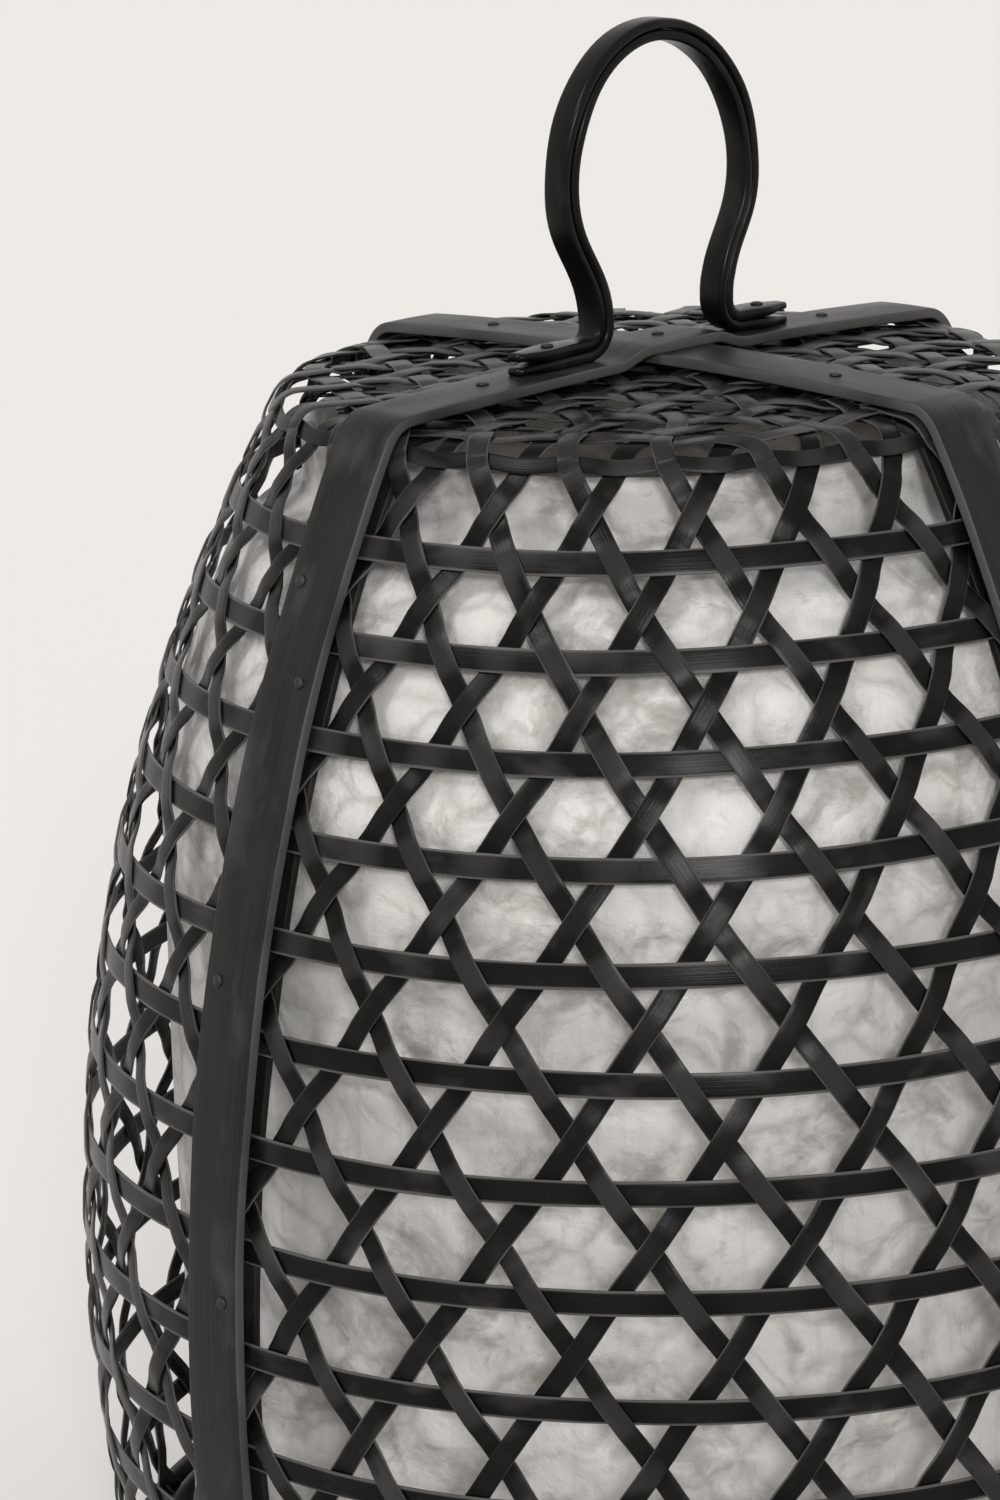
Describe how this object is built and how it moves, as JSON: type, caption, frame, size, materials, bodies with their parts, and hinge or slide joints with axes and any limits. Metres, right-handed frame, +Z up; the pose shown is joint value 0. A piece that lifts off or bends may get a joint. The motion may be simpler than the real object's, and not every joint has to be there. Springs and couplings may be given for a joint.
{
  "type": "candle lantern",
  "caption": "Bell-shaped candle lantern: an open kagome-woven bamboo basket with nailed ribs and a bentwood loop handle lifts off a wide glass jar holding a pillar candle.",
  "frame": {"origin": "centre of the resting surface, on the basket's axis, at the underside of the rim and of the jar", "axes": "+Z up along the basket's axis; the handle's loop and one pair of ribs stand in the XZ plane, the other pair in the YZ plane"},
  "size_m": [0.3292, 0.3292, 0.4304],
  "materials": {
    "lacquered_splint": "satin black lacquer on split bamboo",
    "lacquered_bamboo": "satin black lacquer on flat bamboo",
    "iron_nails": "blackened small nails",
    "clear_glass": "thick hand-made glass, wavy and milky with grey marbling",
    "wax": "matt ivory wax",
    "cotton_wick": "singed braided cotton"
  },
  "bodies": {
    "jar": {"glass_jar": "clear_glass"},
    "candle": {"candle": "wax", "candle_wick": "cotton_wick"},
    "basket": {"hoop_01": "lacquered_splint", "hoop_02": "lacquered_splint", "hoop_03": "lacquered_splint", "hoop_04": "lacquered_splint", "hoop_05": "lacquered_splint", "hoop_06": "lacquered_splint", "hoop_07": "lacquered_splint", "hoop_08": "lacquered_splint", "hoop_09": "lacquered_splint", "hoop_10": "lacquered_splint", "hoop_11": "lacquered_splint", "hoop_12": "lacquered_splint", "hoop_13": "lacquered_splint", "hoop_14": "lacquered_splint", "right_leaning_strips": "lacquered_splint", "left_leaning_strips": "lacquered_splint", "top_strips_1": "lacquered_splint", "top_strips_2": "lacquered_splint", "top_strips_3": "lacquered_splint", "outer_rib_handle": "lacquered_bamboo", "outer_rib_cross": "lacquered_bamboo", "inner_rib_handle": "lacquered_bamboo", "inner_rib_cross": "lacquered_bamboo", "outer_rim": "lacquered_bamboo", "inner_rim": "lacquered_bamboo", "handle_outer_layer": "lacquered_bamboo", "handle_inner_layer": "lacquered_bamboo", "rib_nails": "iron_nails", "rib_tacks": "iron_nails", "rim_nails": "iron_nails", "handle_nails": "iron_nails"}
  },
  "joints": [
    {"name": "basket_lift", "type": "slide", "parent": "jar", "child": "basket", "axis": [0, 0, 1], "range_m": [0, 0.45]},
    {"name": "candle_lift", "type": "slide", "parent": "jar", "child": "candle", "axis": [0, 0, 1], "range_m": [0, 0.2]}
  ]
}
